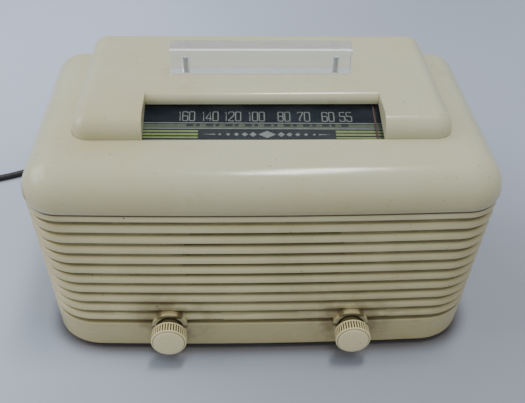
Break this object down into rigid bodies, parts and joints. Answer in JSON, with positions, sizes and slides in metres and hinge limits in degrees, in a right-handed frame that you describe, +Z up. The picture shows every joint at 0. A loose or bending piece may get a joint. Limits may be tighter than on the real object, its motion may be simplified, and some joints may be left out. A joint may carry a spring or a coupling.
{
  "type": "valve table radio",
  "caption": "Ivory mains valve table radio with a ribbed two-piece moulded cabinet, sloping slide-rule dial, clear block handle, volume and tuning knobs and a mains cord with plug.",
  "frame": {"origin": "on the standing surface, at the middle of the radio's width and depth, knobs included and cord left out", "axes": "+X to the right seen from the front, +Y towards the back, +Z up"},
  "size_m": [0.5028, 0.2768, 0.1929],
  "materials": {
    "ivory_plastic": "aged semi-gloss moulding, grime in the grooves",
    "knob_plastic": "yellowed gloss with dark slots",
    "clear_acrylic": "polished clear acrylic",
    "lens_plastic": "clear sheet, light scratches",
    "dial_print": "screen print, semi-gloss",
    "pointer_paint": "satin paint",
    "plated_steel": "dull plated sheet",
    "screw_steel": "zinc, tarnished",
    "shaft_steel": "turned steel",
    "foot_rubber": "matt",
    "back_board": "pressed fibreboard",
    "baffle_board": "plain board",
    "grille_fabric": "woven cloth",
    "dial_cord": "waxed cord",
    "brass_parts": "plain",
    "tube_glass": "clear",
    "tube_metal": "blackened plates",
    "black_phenolic": "moulded",
    "can_aluminium": "drawn can",
    "coil_former": "waxed paper and wire",
    "core_iron": "lacquered iron",
    "copper_winding": "enamelled wire",
    "cone_paper": "pressed paper",
    "cord_rubber": "smooth rubber",
    "plug_rubber": "moulded rubber"
  },
  "bodies": {
    "cabinet": {"lower_cabinet": "ivory_plastic", "top_cover": "ivory_plastic", "rubber_feet": "foot_rubber", "back_panel": "back_board", "back_panel_screws": "screw_steel", "handle": "clear_acrylic", "handle_screws": "screw_steel", "dial_lens": "lens_plastic", "cabinet_screws": "screw_steel", "dial_plate": "dial_print", "dial_bracket": "plated_steel", "pulley_studs": "screw_steel", "dial_string": "dial_cord", "lamp_socket": "brass_parts", "dial_lamp": "tube_glass", "chassis": "plated_steel", "tube_sockets": "black_phenolic", "tube_bases": "black_phenolic", "converter_tube": "tube_glass", "if_amplifier_tube": "tube_glass", "detector_tube": "tube_glass", "output_tube": "tube_glass", "rectifier_tube": "tube_glass", "tube_plates": "tube_metal", "input_if_transformer": "can_aluminium", "output_if_transformer": "can_aluminium", "filter_capacitor": "can_aluminium", "oscillator_coil": "coil_former", "output_transformer_core": "core_iron", "output_transformer_coil": "copper_winding", "speaker_baffle": "baffle_board", "grille_cloth": "grille_fabric", "speaker_basket": "plated_steel", "speaker_screws": "screw_steel", "speaker_magnet": "core_iron", "volume_control": "plated_steel", "tuning_bushing": "brass_parts", "control_nuts": "screw_steel", "gang_frame": "plated_steel", "gang_bracket": "plated_steel", "gang_stator": "can_aluminium", "loop_antenna": "copper_winding", "cord_strain_relief": "cord_rubber", "power_cord_run": "cord_rubber", "power_cord_coil": "cord_rubber", "power_cord_tail": "cord_rubber", "power_plug": "plug_rubber", "plug_blades": "brass_parts"},
    "volume_spindle": {"volume_knob": "knob_plastic", "volume_shaft": "shaft_steel"},
    "tuning_spindle": {"tuning_knob": "knob_plastic", "tuning_shaft": "shaft_steel"},
    "gang_drive": {"gang_rotor": "can_aluminium", "gang_shaft": "shaft_steel", "tuning_drum": "can_aluminium"},
    "pointer_carriage": {"dial_pointer": "pointer_paint"},
    "left_idler": {"left_pulley": "brass_parts"},
    "right_idler": {"right_pulley": "brass_parts"},
    "moving_cone": {"speaker_cone": "cone_paper", "voice_coil": "copper_winding"}
  },
  "joints": [
    {"name": "volume_turn", "type": "hinge", "parent": "cabinet", "child": "volume_spindle", "pos_m": [-0.0665, -0.0945, 0.0274], "axis": [0, 1, 0], "range_deg": [0, 300]},
    {"name": "gang_turn", "type": "hinge", "parent": "cabinet", "child": "gang_drive", "pos_m": [0.104, 0.006, 0.0895], "axis": [0, -1, 0], "range_deg": [0, 180]},
    {"name": "tuning_turn", "type": "hinge", "parent": "cabinet", "child": "tuning_spindle", "pos_m": [0.0635, -0.0945, 0.0274], "axis": [0, -1, 0], "range_deg": [0, 2012]},
    {"name": "pointer_slide", "type": "slide", "parent": "cabinet", "child": "pointer_carriage", "axis": [-1, 0, 0], "range_m": [0, 0.1362]},
    {"name": "left_pulley_turn", "type": "hinge", "parent": "cabinet", "child": "left_idler", "pos_m": [-0.091, 0.006, 0.15], "axis": [0, -1, 0], "range_deg": [0, 1444]},
    {"name": "right_pulley_turn", "type": "hinge", "parent": "cabinet", "child": "right_idler", "pos_m": [0.091, 0.006, 0.15], "axis": [0, -1, 0], "range_deg": [0, 1444]},
    {"name": "cone_travel", "type": "slide", "parent": "cabinet", "child": "moving_cone", "axis": [0, 1, 0], "range_m": [-0.0008, 0.0008], "stiffness_N_per_m": 1500}
  ],
  "couplings": [
    {"joint": "tuning_turn", "follows": "gang_turn", "ratio": 11.174},
    {"joint": "pointer_slide", "follows": "gang_turn", "m_per_rad": 0.0433},
    {"joint": "left_pulley_turn", "follows": "gang_turn", "ratio": 8.0185},
    {"joint": "right_pulley_turn", "follows": "gang_turn", "ratio": 8.0185}
  ]
}
